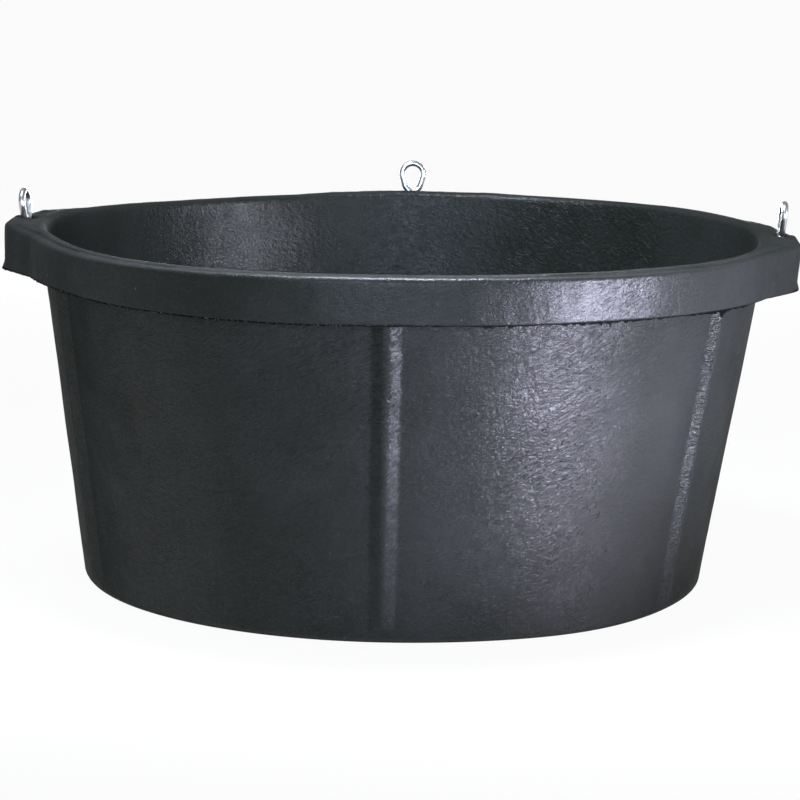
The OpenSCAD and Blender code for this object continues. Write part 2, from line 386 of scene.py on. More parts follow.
def rimTop(angle, radius, face):
    # height of the rim's and the ears' upper side
    top = float(t["height"])
    blend = t["beadBlend"]
    step = t["beadHeight"] * roundRim(lipStep, angle)
    low = top - step - edgeDrop(face - radius, shoulderAt(angle))
    bead = top - edgeDrop(beadR - radius, step) - farOff * (radius > beadR)
    z = softMax(low, bead, blend)
    for ear, earAngle in earAngles.items():
        d = turnFrom(angle, earAngle)
        near = np.abs(d) < earSpan
        u, side = radius * np.cos(d), radius * np.sin(d)
        across, end = earDistances(u, side)
        rear = rearShare(ear, side)
        across = across + (softMin(across, end, t["corner"] + t["cornerMore"] * rear) - across) * rear
        plate = np.minimum(top, top - (u - crestR) * leanSlope)
        endDrop = edgeDrop(end, t["earRound"][ear])
        upper = plate - edgeDrop(across - beadStep, step) - endDrop - farOff * (across < beadStep)
        lower = plate - step - edgeDrop(across, t["shoulder"]) - endDrop
        lower = np.where((across > 0) & (end > 0), lower, -farOff)
        z = np.where(near, softMax(z, softMax(lower, upper, blend), t["plateBlend"]), z)
        # the dimple that the eye's foot has pressed in
        flat = (u - dimpleX) ** 2 + side ** 2
        over = np.maximum(np.sqrt(flat) - t["dimpleR"], 0)
        cup = dimpleZ - np.sqrt(np.maximum(t["dimpleR"] ** 2 - flat, 0)) + over * t["dimpleSlope"]
        cup = cup - sag(angle, radius, cup)
        z = np.where(near, softMin(z, cup, t["dimpleEdge"]), z)
    return z


def tubRings():
    # rings of (angles, radii, heights) from the middle of the base, up over the rim and down to the floor
    rows = t["rows"]
    fine = columnAngles(t["columns"])
    coarse, sparse = fine[::2], fine[::4]
    rings = []

    def ring(angle, r, z):
        r, z = (np.broadcast_to(np.asarray(v, float), angle.shape).copy() for v in (r, z))
        rings.append((angle, r, z))

    def footArc(lineR, z, radius):
        centre = lineR + slope * (z + radius) - radius / math.cos(wallLean)
        a = np.linspace(-math.pi / 2, -wallLean, rows["arc"])
        return list(zip(centre + radius * np.cos(a), z + radius + radius * np.sin(a)))

    for r in rows["base"]:
        ring(sparse, r, 0)
    for r, z in footArc(t["baseR"], 0, t["baseRound"]):
        ring(coarse, r, z)
    for z in [*rows["foot"], *np.linspace(*rows["wall"])]:
        beside = alongRibs(coarse, z)
        ring(beside, outerWall(z) + ribSwell(beside, np.full(coarse.shape, z)), z)
    for below in rows["belowRim"]:
        z = rimZ - below
        ring(fine, outerWall(z) + ribSwell(fine, np.full(fine.shape, z)), z)
    # the rim's underside, and its lower edge with a worn rounding
    face = faceRadius(fine)
    edge = t["lowEdge"]
    root = outerWall(rimZ) + ribSwell(fine, np.full(fine.shape, float(rimZ)))
    ring(fine, root + t["rootRound"], rimZ - t["rootRound"])
    for share in rows["underRim"]:
        ring(fine, root + (face - edge - root) * share, rimZ)
    for a in np.radians(rows["edge"]):
        ring(fine, face - edge + edge * math.cos(a), rimZ + edge + edge * math.sin(a))
    topFace = rimTop(fine, face, face)
    for share in rows["face"]:
        ring(fine, face, rimZ + edge + (topFace - rimZ - edge) * share)
    # the flared lip along the ears' lower edges, and the rounding of each ear's end
    flareShare = np.zeros(fine.shape)
    endRound = shoulderAt(fine)
    for ear, earAngle in earAngles.items():
        share = 1 - ease(*t["flareOver"], alongEar(fine, earAngle))
        flareShare = np.maximum(flareShare, share)
        endRound = np.where(share > t["flareLeast"], t["earRound"][ear], endRound)
    for _, r, z in rings[-len(rows["edge"] + rows["face"]):]:
        r += t["flare"] * flareShare * (1 - ease(t["flareFrom"], t["flareHeight"], z - rimZ))
    # upper side, from the face in to the crest
    curve = np.minimum(endRound, t["roundShare"] * (face - crestR))
    for a in np.radians(rows["shoulder"]):
        r = face - curve * (1 - math.cos(a))
        ring(fine, r, rimTop(fine, r, face))
    for share in np.linspace(0, 1, rows["top"])[1:]:
        r = face - curve - (face - curve - crestR) * share
        ring(fine, r, rimTop(fine, r, face))
    # the lip, the inside and the floor
    lip = t["lipRound"]
    for a in np.linspace(math.pi / 2, math.pi - wallLean, rows["lip"])[1:]:
        ring(fine, crestR + lip * math.cos(a), t["height"] - lip + lip * math.sin(a))
    ring(fine, innerWall(rows["insideTop"]), rows["insideTop"])
    for z in np.linspace(*rows["inside"]):
        ring(coarse, innerWall(z), z)
    for r, z in footArc(innerBaseR, t["floor"], t["floorFillet"])[::-1]:
        ring(coarse, r, z)
    for r in rows["floor"]:
        ring(sparse, r, t["floor"])
    return rings


def weather(x, y, z):
    # the moulding's own unevenness, in millimetres: soft wobble, grain and rim wrinkles
    r = np.hypot(x, y)
    out = t["wallWobble"] * layeredLumps(x, y, z, t["wallLayers"])
    out += t["grain"] * layeredLumps(x, y, z, t["grainLayers"])
    rim = ease(bandLow, bandLow + t["rimUp"], z) * ease(*t["rimOut"], r)
    out += rim * t["rimWobble"] * layeredLumps(x, y, z, t["rimLayers"])
    # the base's underside and the floor stay flat
    floorLow, floorHigh = t["flatFloor"]
    onFloor = (r < t["flatFloorR"]) & (z > floorLow) & (z < floorHigh)
    level = (1 - ease(*t["flatBase"], z)) + onFloor
    return out * (1 - np.clip(level, 0, 1))


def settle(points):
    # bends plain points as the soft moulding has bent: sag, skew, droop, bulge and unevenness
    x, y, z = points.T.copy()
    r = np.hypot(x, y)
    angle = np.arctan2(y, x)
    out = points.copy()
    out[:, 2] += sag(angle, r, z)
    out[:, 0] -= t["skew"] * softMax(1 - z / rimZ, z * 0, t["skewBlend"])
    out[:, 0] += t["droop"] * (z - t["droopFrom"]) * ease(*t["droopOut"], x) * ease(bandLow, bandIn, z)
    hang = t["cornerDroop"] * ease(*t["cornerOut"], np.abs(x)) * ease(*t["cornerBack"], y)
    out[:, 2] -= hang * ease(bandIn, bandTop, z)
    shift = weather(x, y, z)
    boltNear = np.zeros(r.shape)
    for ear in earAngles.values():
        bx, by = boltR * math.cos(ear), boltR * math.sin(ear)
        boltNear = np.maximum(boltNear, 1 - ease(*t["boltClear"], np.hypot(x - bx, y - by)))
    shift *= 1 - boltNear
    bulge = t["footBulge"] * np.exp(-((np.degrees(angle) + 90 - t["bulgeTurn"]) / t["bulgeWide"]) ** 2)
    bulge = bulge * (1 - ease(0, t["bulgeHigh"], z)) * ease(*t["bulgeOut"], r)
    # on the upper side the unevenness moves up, not out
    topLow, topHigh = (t["height"] - depth for depth in t["topDepths"])
    flat = ease(topLow, topHigh, z) * ease(*t["topOut"], r)
    outward = (1 - flat) * shift + bulge
    out[:, 0] += outward * x / np.maximum(r, 1)
    out[:, 1] += outward * y / np.maximum(r, 1)
    out[:, 2] += flat * np.minimum(shift, t["topWobble"])
    return out


def buildTub():
    points, numbers = [], []
    for angle, r, z in tubRings():
        start = sum(len(p) for p in points)
        points.append(np.stack([r * np.cos(angle), r * np.sin(angle), z], -1))
        numbers.append(list(range(start, start + len(angle))))
    points = settle(np.concatenate(points))
    faces = []
    for lower, upper in zip(numbers[:-1], numbers[1:]):
        faces += bridgeRings(lower, upper)
    points = np.concatenate([points, [[0, 0, 0], [0, 0, t["floor"]]]])
    base, middle = len(points) - 2, len(points) - 1
    first, last = numbers[0], numbers[-1]
    faces += [(first[(i + 1) % len(first)], first[i], base) for i in range(len(first))]
    faces += [(last[i], last[(i + 1) % len(last)], middle) for i in range(len(last))]
    return makeMesh("tub_body", points * mm, faces)


def atBolt(ear):
    # the bolt's own frame: Z runs up along the bolt from the ear's top, X points outwards
    lift = Matrix.Translation(Vector((0, 0, seatZ * mm)))
    reach = Matrix.Translation(Vector((boltR * mm, 0, 0)))
    return Matrix.Rotation(earAngles[ear], 4, "Z") @ lift @ reach @ Matrix.Rotation(boltLean, 4, "Y")


def prism(outline, low, high):
    n = len(outline)
    points = [(x, y, low) for x, y in outline] + [(x, y, high) for x, y in outline]
    faces = [tuple(range(n - 1, -1, -1)), tuple(range(n, 2 * n))]
    faces += [(i, (i + 1) % n, n + (i + 1) % n, n + i) for i in range(n)]
    return np.array(points) * mm, faces


def cutEars(tub):
    # the pocket under each ear, and the bore from it to the dimple
    width = 2 * t["washerR"] + t["pocketOut"] + t["pocketIn"]
    shift = (t["pocketOut"] - t["pocketIn"]) / 2
    half = (t["pocketLength"] - width) / 2
    pocket = []
    for side, begin in ((1, 0), (-1, math.pi)):
        for a in begin + np.linspace(0, math.pi, 17):
            pocket.append((shift + width / 2 * math.cos(a), side * half + width / 2 * math.sin(a)))
    around = np.linspace(0, fullTurn, 33)[:-1]
    bore = [(t["boreR"] * math.cos(a), t["boreR"] * math.sin(a)) for a in around]
    cuts = (
        ("pocketCut", pocket, -t["pocketDown"], -t["earTop"]),
        ("boreCut", bore, -t["earTop"] - t["boreDown"], t["boreUp"]),
    )
    for name, outline, low, high in cuts:
        allPoints, allFaces = [], []
        for ear in earAngles:
            points, faces = prism(outline, low, high)
            place = atBolt(ear)
            start = len(allPoints)
            allPoints += [place @ Vector(p) for p in points]
            allFaces += [tuple(start + i for i in f) for f in faces]
        cutter = makeMesh(name, allPoints, allFaces)
        cut = tub.modifiers.new(name, "BOOLEAN")
        cut.operation = "DIFFERENCE"
        cut.solver = "EXACT"
        cut.object = cutter
        evaluated = tub.evaluated_get(bpy.context.evaluated_depsgraph_get())
        shaped = bpy.data.meshes.new_from_object(evaluated)
        tub.modifiers.clear()
        tub.data = shaped
        bpy.data.objects.remove(cutter)


# the ragged skin that the mould left along the rim's lower edge, in millimetres
flashShape = {
    "columns": 2600, "patternR": 300, "sharpDegrees": 60,
    "rough": (3.2, 21),  # size of the raggedness, and its seed
    # torn-off bits, the patches that hold them, and tears: size, seed, and the limits between none and all
    "bits": (1.7, 22, 0.52, 0.95), "bitPatches": (14, 23, 0.35, 0.7), "tears": (38, 24, 0.30, 0.75),
    "hangFrom": (4, 12), "hangTo": (100, 130),  # degrees from the front between which it hangs
    "tearTurn": 31, "tearWide": 9,  # where it is torn most
    "out": 0.9, "outShares": (0.15, 0.35, 0.8), "tuck": 0.8,  # plain, rough and bits
    "downShares": (0.25, 0.5, 0.5), "hang": 4.2, "shreds": (0.14, 0.25, 0.9, 0.3),
    "earOver": (40, 66), "earLess": 0.7,
    # its section's corners: out from the face, share of the way out, up from the edge, share of the way down
    "section": [(-0.25, 0, 1.5, 0), (0, 1, 0.3, 1), (-1.7, 0, 0.2, 0.6), (-2.0, 0, 0.8, 0)],
}


def buildFlash():
    # it stands out on the left, and hangs on the right
    f = flashShape
    n = f["columns"]
    angle = np.linspace(0, fullTurn, n, endpoint=False)
    turn = np.degrees(turnFrom(angle, -math.pi / 2))
    x, y = f["patternR"] * np.cos(angle), f["patternR"] * np.sin(angle)

    def ragged(size, seed):
        return 0.5 + 0.5 * lumps(x, y, x * 0, size, seed)

    def picked(size, seed, low, high):
        return ease(low, high, ragged(size, seed))

    rough = ragged(*f["rough"])
    bits = picked(*f["bits"]) * picked(*f["bitPatches"])
    torn = np.maximum(picked(*f["tears"]), np.exp(-((turn - f["tearTurn"]) / f["tearWide"]) ** 2))
    hanging = ease(*f["hangFrom"], turn) * (1 - ease(*f["hangTo"], turn))
    plain, ofRough, ofBits = f["outShares"]
    out = f["out"] * (plain + ofRough * rough + ofBits * bits) * (1 - hanging) - f["tuck"] * hanging
    plain, ofRough, ofBits = f["downShares"]
    stub = plain + ofRough * rough + ofBits * bits
    plain, ofRough, ofBits, ofTears = f["shreds"]
    shreds = plain + (ofRough + ofBits * bits) * rough * torn + ofTears * torn * rough
    down = stub * (1 - hanging) + f["hang"] * shreds * hanging
    earShare = np.zeros(angle.shape)
    for earAngle in earAngles.values():
        earShare = np.maximum(earShare, 1 - ease(*f["earOver"], alongEar(angle, earAngle)))
    face = faceRadius(angle) + t["flare"] * earShare
    down = down * (1 - f["earLess"] * earShare)
    points, faces = [], []
    for row, (aside, outShare, up, downShare) in enumerate(f["section"]):
        r = face + aside + outShare * out
        points.append(np.stack([r * np.cos(angle), r * np.sin(angle), rimZ + up - downShare * down], -1))
        faces += bridgeRows(row, (row + 1) % len(f["section"]), n)
    return makeMesh("rim_flash", settle(np.concatenate(points)) * mm, faces)


tub = buildTub()
cutEars(tub)
flash = buildFlash()
smoothShade(flash, flashShape["sharpDegrees"])
smoothShade(tub, t["sharpDegrees"])
triangles = sum(len(p.vertices) - 2 for p in tub.data.polygons)
print("tub:", len(tub.data.polygons), "faces,", triangles, "triangles")


# materials

def newMaterial(name):
    made = bpy.data.materials.new(name)
    made.use_nodes = True
    made.node_tree.nodes.clear()
    return made, made.node_tree


def node(tree, kind, feeds=None, **settings):
    made = tree.nodes.new(kind)
    for key, value in settings.items():
        setattr(made, key, value)
    for key, value in (feeds or {}).items():
        socket = made.inputs[key]
        if isinstance(value, bpy.types.NodeSocket):
            tree.links.new(value, socket)
        else:
            socket.default_value = value
    return made


def maths(tree, kind, a, b=None):
    feeds = {0: a}
    if b is not None:
        feeds[1] = b
    return node(tree, "ShaderNodeMath", feeds, operation=kind).outputs[0]


def ramp(tree, value, stops):
    made = node(tree, "ShaderNodeValToRGB", {0: value})
    marks = made.color_ramp.elements
    for mark, (at, level) in zip(marks, stops):
        mark.position = at
        mark.color = (level, level, level, 1)
    return made.outputs[0]


def mixColour(tree, share, a, b):
    made = node(tree, "ShaderNodeMix", data_type="RGBA")
    for socket, value in ((made.inputs[0], share), (made.inputs[6], a), (made.inputs[7], b)):
        if isinstance(value, bpy.types.NodeSocket):
            tree.links.new(value, socket)
        else:
            socket.default_value = (*value, 1)
    return made.outputs[2]


def noise(tree, place, scale, detail=2.0, rough=0.5, warp=0.0):
    feeds = {"Vector": place, "Scale": scale, "Detail": detail, "Roughness": rough, "Distortion": warp}
    return node(tree, "ShaderNodeTexNoise", feeds).outputs[0]


def mapped(tree, value, span, low, high):
    # takes a span of values to another, and holds it there
    feeds = {0: value, 1: span[0], 2: span[1], 3: low, 4: high}
    return node(tree, "ShaderNodeMapRange", feeds).outputs[0]


def bump(tree, strength, depth, height):
    feeds = {"Strength": strength, "Distance": depth, "Height": height}
    return node(tree, "ShaderNodeBump", feeds).outputs[0]


def surface(tree, colour, rough, relief, others):
    feeds = {"Base Color": colour, "Roughness": rough, "Normal": relief, **others}
    shader = node(tree, "ShaderNodeBsdfPrincipled", feeds)
    node(tree, "ShaderNodeOutputMaterial", {0: shader.outputs[0]})


def weighted(tree, *pairs):
    # the sum of values times their weights
    total = None
    for value, weight in pairs:
        part = maths(tree, "MULTIPLY", value, weight)
        total = part if total is None else maths(tree, "ADD", total, part)
    return total


rubberLook = {
    "dark": (0.0088, 0.0100, 0.0088), "light": (0.0145, 0.0158, 0.0148), "cloudScale": 14,
    "crumb": (0.042, 0.043, 0.043), "crumbScale": 520,
    "dust": (0.14, 0.14, 0.135), "dustScale": 190, "dustSize": 0.13, "dustShare": 0.03,
    "shine": 0.155, "roughLow": 0.22, "roughHigh": 0.34, "roughScale": 45, "flecks": 0.26, "fleckScale": 420,
    "edgeDull": 0.50, "edgeFrom": 0.26, "edgeTo": 0.60,  # duller where it is seen at a slant
    # relief in millimetres, of which a share is left on the rim and inside
    "grain": 0.24, "grainScale": 700, "hollow": 0.76, "hollowScale": 230, "patchScale": 22,
    "rimHollow": 0.54, "rimStrokes": 0.35, "insideStrokes": 0.4,
    "rimOut": (0.294, 0.299), "wallSlope": 0.149, "outside": (0.2465, 0.2495),  # metres
    # slanting flow marks: how far their pattern reaches round and up, and its twist
    "strokes": [
        {"round": 1.0, "up": 2.3, "twist": -6.2, "scale": 106, "limits": (0.52, 0.68), "depth": 0.42},
        {"round": 0.48, "up": 5.5, "twist": 13.3, "scale": 100, "limits": (0.54, 0.70), "depth": 0.21},
    ],
}


def strokeMarks(tree, angle, along, stroke):
    # noise drawn out into slanting strokes, without a seam
    twisted = maths(tree, "ADD", angle, maths(tree, "MULTIPLY", along, stroke["twist"]))
    x = maths(tree, "MULTIPLY", maths(tree, "COSINE", twisted), stroke["round"])
    y = maths(tree, "MULTIPLY", maths(tree, "SINE", twisted), stroke["round"])
    z = maths(tree, "MULTIPLY", along, stroke["up"])
    place = node(tree, "ShaderNodeCombineXYZ", {0: x, 1: y, 2: z}).outputs[0]
    low, high = stroke["limits"]
    return ramp(tree, noise(tree, place, stroke["scale"], 2, 0.6, 0.3), [(low, 0.0), (high, 1.0)])


def speckMask(tree, place, scale, size, share):
    # small irregular specks in some of the cells
    ragged = (0.35 / scale,) * 3
    stir = node(tree, "ShaderNodeTexNoise", {"Vector": place, "Scale": scale * 5}).outputs[1]
    push = node(tree, "ShaderNodeVectorMath", {0: stir, 1: ragged}, operation="MULTIPLY").outputs[0]
    wavy = node(tree, "ShaderNodeVectorMath", {0: place, 1: push}, operation="ADD").outputs[0]
    cells = node(tree, "ShaderNodeTexVoronoi", {"Vector": wavy, "Scale": scale}, feature="F1")
    pick = node(tree, "ShaderNodeSeparateColor", {0: cells.outputs["Color"]}).outputs
    reach = maths(tree, "MULTIPLY", maths(tree, "POWER", pick[1], 2.0), size)
    inside = maths(tree, "LESS_THAN", cells.outputs["Distance"], reach)
    return maths(tree, "MULTIPLY", inside, maths(tree, "GREATER_THAN", pick[0], 1 - share))


def rubberMaterial():
    look = rubberLook
    made, tree = newMaterial("moulded_rubber")
    place = node(tree, "ShaderNodeTexCoord").outputs["Object"]
    axes = node(tree, "ShaderNodeSeparateXYZ", {0: place}).outputs
    angle = maths(tree, "ARCTAN2", axes[1], axes[0])
    squares = [maths(tree, "POWER", axes[k], 2.0) for k in (0, 1)]
    radius = maths(tree, "SQRT", maths(tree, "ADD", *squares))
    along = maths(tree, "ADD", axes[2], radius)
    # colour: cloudy patches, paler crumbs and a few specks of dust
    cloud = ramp(tree, noise(tree, place, look["cloudScale"], 5, 0.6), [(0.35, 0.0), (0.68, 1.0)])
    crumbs = ramp(tree, noise(tree, place, look["crumbScale"], 2, 0.6), [(0.60, 0.0), (0.80, 0.6)])
    dust = speckMask(tree, place, look["dustScale"], look["dustSize"], look["dustShare"])
    colour = mixColour(tree, cloud, look["dark"], look["light"])
    colour = mixColour(tree, crumbs, colour, look["crumb"])
    colour = mixColour(tree, dust, colour, look["dust"])
    # roughness: polished and dull patches
    patches = noise(tree, place, look["roughScale"], 5, 0.65)
    rough = mapped(tree, patches, (0.3, 0.7), look["roughLow"], look["roughHigh"])
    flecks = maths(tree, "SUBTRACT", noise(tree, place, look["fleckScale"], 2, 0.6), 0.5)
    rough = maths(tree, "ADD", rough, maths(tree, "MULTIPLY", flecks, look["flecks"]))
    facing = node(tree, "ShaderNodeLayerWeight", {"Blend": 0.5}).outputs["Facing"]
    slanted = ramp(tree, facing, [(look["edgeFrom"], 0.0), (look["edgeTo"], 1.0)])
    rough = maths(tree, "ADD", rough, maths(tree, "MULTIPLY", slanted, look["edgeDull"]))
    # relief: crumb grain, hollows and slanting flow marks
    grain = noise(tree, place, look["grainScale"], 2, 0.65)
    hollows = noise(tree, place, look["hollowScale"], 3, 0.62)
    hollowDepth = mapped(tree, radius, look["rimOut"], look["hollow"], look["hollow"] * look["rimHollow"])
    worn = ramp(tree, noise(tree, place, look["patchScale"], 2), [(0.38, 0.5), (0.62, 1.0)])
    offRim = mapped(tree, radius, look["rimOut"], 1.0, look["rimStrokes"])
    fromWall = maths(tree, "SUBTRACT", radius, maths(tree, "MULTIPLY", axes[2], look["wallSlope"]))
    outside = mapped(tree, fromWall, look["outside"], look["insideStrokes"], 1.0)
    strokeShare = maths(tree, "MULTIPLY", maths(tree, "MULTIPLY", worn, offRim), outside)
    marks = [(strokeMarks(tree, angle, along, stroke), stroke["depth"]) for stroke in look["strokes"]]
    strokes = maths(tree, "MULTIPLY", weighted(tree, *marks), strokeShare)
    height = maths(tree, "ADD", weighted(tree, (grain, look["grain"]), (hollows, hollowDepth)), strokes)
    relief = bump(tree, 1.0, mm, height)
    surface(tree, colour, rough, relief, {"Specular IOR Level": look["shine"]})
    return made


skinLook = {
    # the skin's black is far darker than the tub's rubber: painted shade for the dark line under the rim
    "black": (0.0014, 0.0014, 0.0016), "crumb": (0.075, 0.076, 0.070), "crumbScale": 800, "shine": 0.02,
    "crumbFadeToShade": (0.07, 0.01), "crumbShareInShade": 0.06,  # metres to the right of the middle, and the share beyond
    "roughLow": 0.62, "roughHigh": 0.78, "grainScale": 900, "grainStrength": 0.8, "grainDepth": 0.0006,
}


def skinMaterial():
    # the torn mould skin: matt black, far darker than the tub's rubber as painted shade, with pale crumbs
    # caught in it on the left
    look = skinLook
    made, tree = newMaterial("torn_rubber_skin_painted_shade")
    place = node(tree, "ShaderNodeTexCoord").outputs["Object"]
    axes = node(tree, "ShaderNodeSeparateXYZ", {0: place}).outputs
    # pale crumbs on the left only; towards the right the skin stays plain black as painted shade
    crumbsOutOfShade = mapped(tree, axes[0], look["crumbFadeToShade"], look["crumbShareInShade"], 1.0)
    crumbs = ramp(tree, noise(tree, place, look["crumbScale"], 2, 0.7), [(0.55, 0.0), (0.66, 1.0)])
    crumbs = maths(tree, "MULTIPLY", crumbs, crumbsOutOfShade)
    colour = mixColour(tree, crumbs, look["black"], look["crumb"])
    rough = ramp(tree, crumbs, [(0.0, look["roughLow"]), (1.0, look["roughHigh"])])
    grain = noise(tree, place, look["grainScale"], 2)
    relief = bump(tree, look["grainStrength"], look["grainDepth"], grain)
    surface(tree, colour, rough, relief, {"Specular IOR Level": look["shine"]})
    return made


zincLook = {
    "bright": (0.57, 0.57, 0.58), "dull": (0.39, 0.39, 0.395), "cloudScale": 260, "cloudShare": 0.8,
    "rough": 0.29, "roughLess": 0.06, "roughMore": 0.10, "dullRough": 0.3,
    "grainScale": 1400, "grainStrength": 0.25, "grainDepth": 0.0002,
    "dullness": {"wire": 0.0, "nut": 0.12, "washer": 0.2},
}


def zincMaterial(kind):
    look = zincLook
    dullness = look["dullness"][kind]
    made, tree = newMaterial("zinc_" + kind)
    place = node(tree, "ShaderNodeTexCoord").outputs["Object"]
    cloud = maths(tree, "MULTIPLY", noise(tree, place, look["cloudScale"], 4, 0.6), look["cloudShare"])
    shade = ramp(tree, maths(tree, "ADD", cloud, dullness), [(0.30, 0.0), (0.75, 1.0)])
    colour = mixColour(tree, shade, look["bright"], look["dull"])
    fine = noise(tree, place, look["grainScale"], 3, 0.6)
    roughLow = look["rough"] - look["roughLess"] + dullness * look["dullRough"]
    roughHigh = look["rough"] + look["roughMore"] + dullness * look["dullRough"]
    rough = mapped(tree, fine, (0.3, 0.7), roughLow, roughHigh)
    relief = bump(tree, look["grainStrength"], look["grainDepth"], fine)
    surface(tree, colour, rough, relief, {"Metallic": 1.0})
    return made


for piece, finish in ((tub, rubberMaterial()), (flash, skinMaterial())):
    piece.data.materials.clear()
    piece.data.materials.append(finish)
    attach(piece, "tub")
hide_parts("tub")
print("rubber on")


# eye bolts, washers and nuts, in millimetres and each in its bolt's own frame

boltShape = {
    "wireR": 2.6, "eyeR": 9.6, "eyeUp": 16.3, "footR": 7.4, "footUp": 8.5,
    "neckFrom": -4.5, "neckRise": 4.2, "neckJoin": 4.0, "neckRows": 15,
    "joinTurn": 48, "endTurn": -33,  # degrees from the loop's foot where the neck meets it, and where it ends
    "burr": 0.25, "burrShare": 0.86,
    "threadR": 2.98, "threadFrom": -9.0, "runOut": 2.0, "end": -25.65, "tip": 0.8,
    "pitch": 1.0, "threadDeep": 0.55, "ridge": 1.25,
    "loopStep": 3, "shankStep": 0.125, "around": 28,
    "turns": {"left": -7, "right": 1.5, "rear": 2},
}


def eyeLine():
    # the loop's middle line, from the neck's joint the long way round to the bent end
    b = boltShape
    taper = math.asin((b["eyeR"] - b["footR"]) / (b["eyeUp"] - b["footUp"]))
    edge = math.pi / 2 - taper - math.radians(0.1)
    turns, points = [], []
    for a in np.radians(np.arange(-180, 180.1, b["loopStep"])):
        up, r = (b["footUp"], b["footR"]) if abs(a) < edge else (b["eyeUp"], b["eyeR"])
        turns.append(math.degrees(a))
        points.append((r * math.sin(a), up - r * math.cos(a)))
    turns, points = np.array(turns), np.array(points)
    onward = (turns + 360) % 360
    kept = (onward >= b["joinTurn"]) & (onward <= 360 + b["endTurn"])
    order = np.argsort(np.where(turns < b["joinTurn"], turns + 360, turns))
    line = points[[k for k in order if kept[k]]]
    apart = np.hypot(*np.diff(line, axis=0).T) > 1e-6
    return line[np.concatenate([[True], apart])]


def boltLine():
    # middle line in the loop's plane, from the shank's end to the bent end, and how many points the shank has
    b = boltShape
    shank = np.arange(b["end"], b["neckFrom"], b["shankStep"])
    loop = eyeLine()
    ahead = loop[1] - loop[0]
    ahead = ahead / np.hypot(*ahead)
    neckTop = b["neckFrom"] + b["neckRise"]
    ends = np.array([(0, b["neckFrom"]), (0, neckTop), loop[0] - ahead * b["neckJoin"], loop[0]])
    u = np.linspace(0, 1, b["neckRows"])[:-1, None]
    v = 1 - u
    neck = v ** 3 * ends[0] + 3 * u * v ** 2 * ends[1] + 3 * u ** 2 * v * ends[2] + u ** 3 * ends[3]
    return np.concatenate([np.stack([shank * 0, shank], -1), neck, loop]), len(shank)


def buildBolt(ear):
    b = boltShape
    line, shankCount = boltLine()
    ahead = np.gradient(line, axis=0)
    ahead /= np.hypot(*ahead.T)[:, None]
    sides = np.stack([ahead[:, 1], -ahead[:, 0]], -1)
    n = b["around"]
    around = np.linspace(0, fullTurn, n, endpoint=False)

    def hoop(middle, side, radii):
        points = []
        for r, a in zip(radii, around):
            across = r * math.cos(a)
            points.append((r * math.sin(a), middle[0] + across * side[0], middle[1] + across * side[1]))
        return points

    points, faces = [], []
    for k, middle in enumerate(line):
        r = np.full(n, b["wireR"])
        if k < shankCount:
            # a rolled thread: sharp ridges that run out towards the neck, and a chamfered end
            z = middle[1]
            climb = (z / b["pitch"] - around / fullTurn) % 1
            ridge = 1 - np.abs(2 * climb - 1)
            thread = b["threadR"] - b["threadDeep"] * (1 - np.clip(b["ridge"] * ridge, 0, 1))
            r = r + (thread - r) * ease(b["threadFrom"], b["threadFrom"] - b["runOut"], z)
            r = np.minimum(r, b["threadR"] - b["tip"] + (z - b["end"]))
        points += hoop(middle, sides[k], r)
        faces += bridgeRows(k, k + 1, n)
    # the bent end is cut off square, with a small burr
    points += hoop(line[-1] + ahead[-1] * b["burr"], sides[-1], np.full(n, b["burrShare"] * b["wireR"]))
    faces.append(tuple(range(n)))
    faces.append(tuple(len(line) * n + i for i in range(n - 1, -1, -1)))
    place = atBolt(ear) @ Matrix.Rotation(math.radians(b["turns"][ear]), 4, "Z")
    return makeMesh("eye_wire_" + ear, [place @ Vector(q) for q in np.array(points) * mm], faces)


nutShape = {
    "across": 10, "low": -21.65, "high": -16.65, "crown": 4.75,
    "coneDegrees": 30, "coneRows": 8, "spare": 0.02, "bore": 3.05, "boreEdge": 3.45, "boreDeep": 0.4,
    "turns": {"left": 12, "right": 41, "rear": 23},
}
washerShape = {
    "outR": 6.0, "bore": 3.15, "low": -16.65, "high": -15.05, "round": 0.35, "roundRows": (90, 65, 40, 20, 0),
    "burr": 0.12, "boreRound": 0.25, "boreBurr": 0.1,
}


def turnedPiece(name, ear, profile, hexRows=0, turn=0.0):
    # a turned piece from (radius, height) points, of which the first few can stay inside the nut's hexagon
    columns = 96
    around = np.linspace(0, fullTurn, columns, endpoint=False)
    flatTurn = (around + math.pi / 6) % (math.pi / 3) - math.pi / 6
    hexR = nutShape["across"] / 2 / np.cos(flatTurn)
    rows = len(profile)
    points, faces = [], []
    for k, (r, z) in enumerate(profile):
        radii = np.minimum(r, hexR) if k < hexRows else np.full(columns, float(r))
        points += [(radius * math.cos(a), radius * math.sin(a), z) for radius, a in zip(radii, around)]
        start, after = k * columns, (k + 1) % rows * columns
        faces += bridgeRings(range(start, start + columns), range(after, after + columns))
    place = atBolt(ear) @ Matrix.Rotation(math.radians(turn), 4, "Z")
    return makeMesh(name, [place @ Vector(q) for q in np.array(points) * mm], faces)


def buildNut(ear):
    n = nutShape
    low, high, deep = n["low"], n["high"], n["boreDeep"]
    cone = math.tan(math.radians(n["coneDegrees"]))
    steps = np.linspace(n["crown"], n["across"] / math.sqrt(3) + n["spare"], n["coneRows"])
    outer = [(r, low + (r - n["crown"]) * cone) for r in steps]
    outer += [(r, high - (r - n["crown"]) * cone) for r in steps[::-1]]
    inner = [(n["boreEdge"], high), (n["bore"], high - deep), (n["bore"], low + deep), (n["boreEdge"], low)]
    return turnedPiece("hex_nut_" + ear, ear, outer + inner, len(outer), n["turns"][ear])


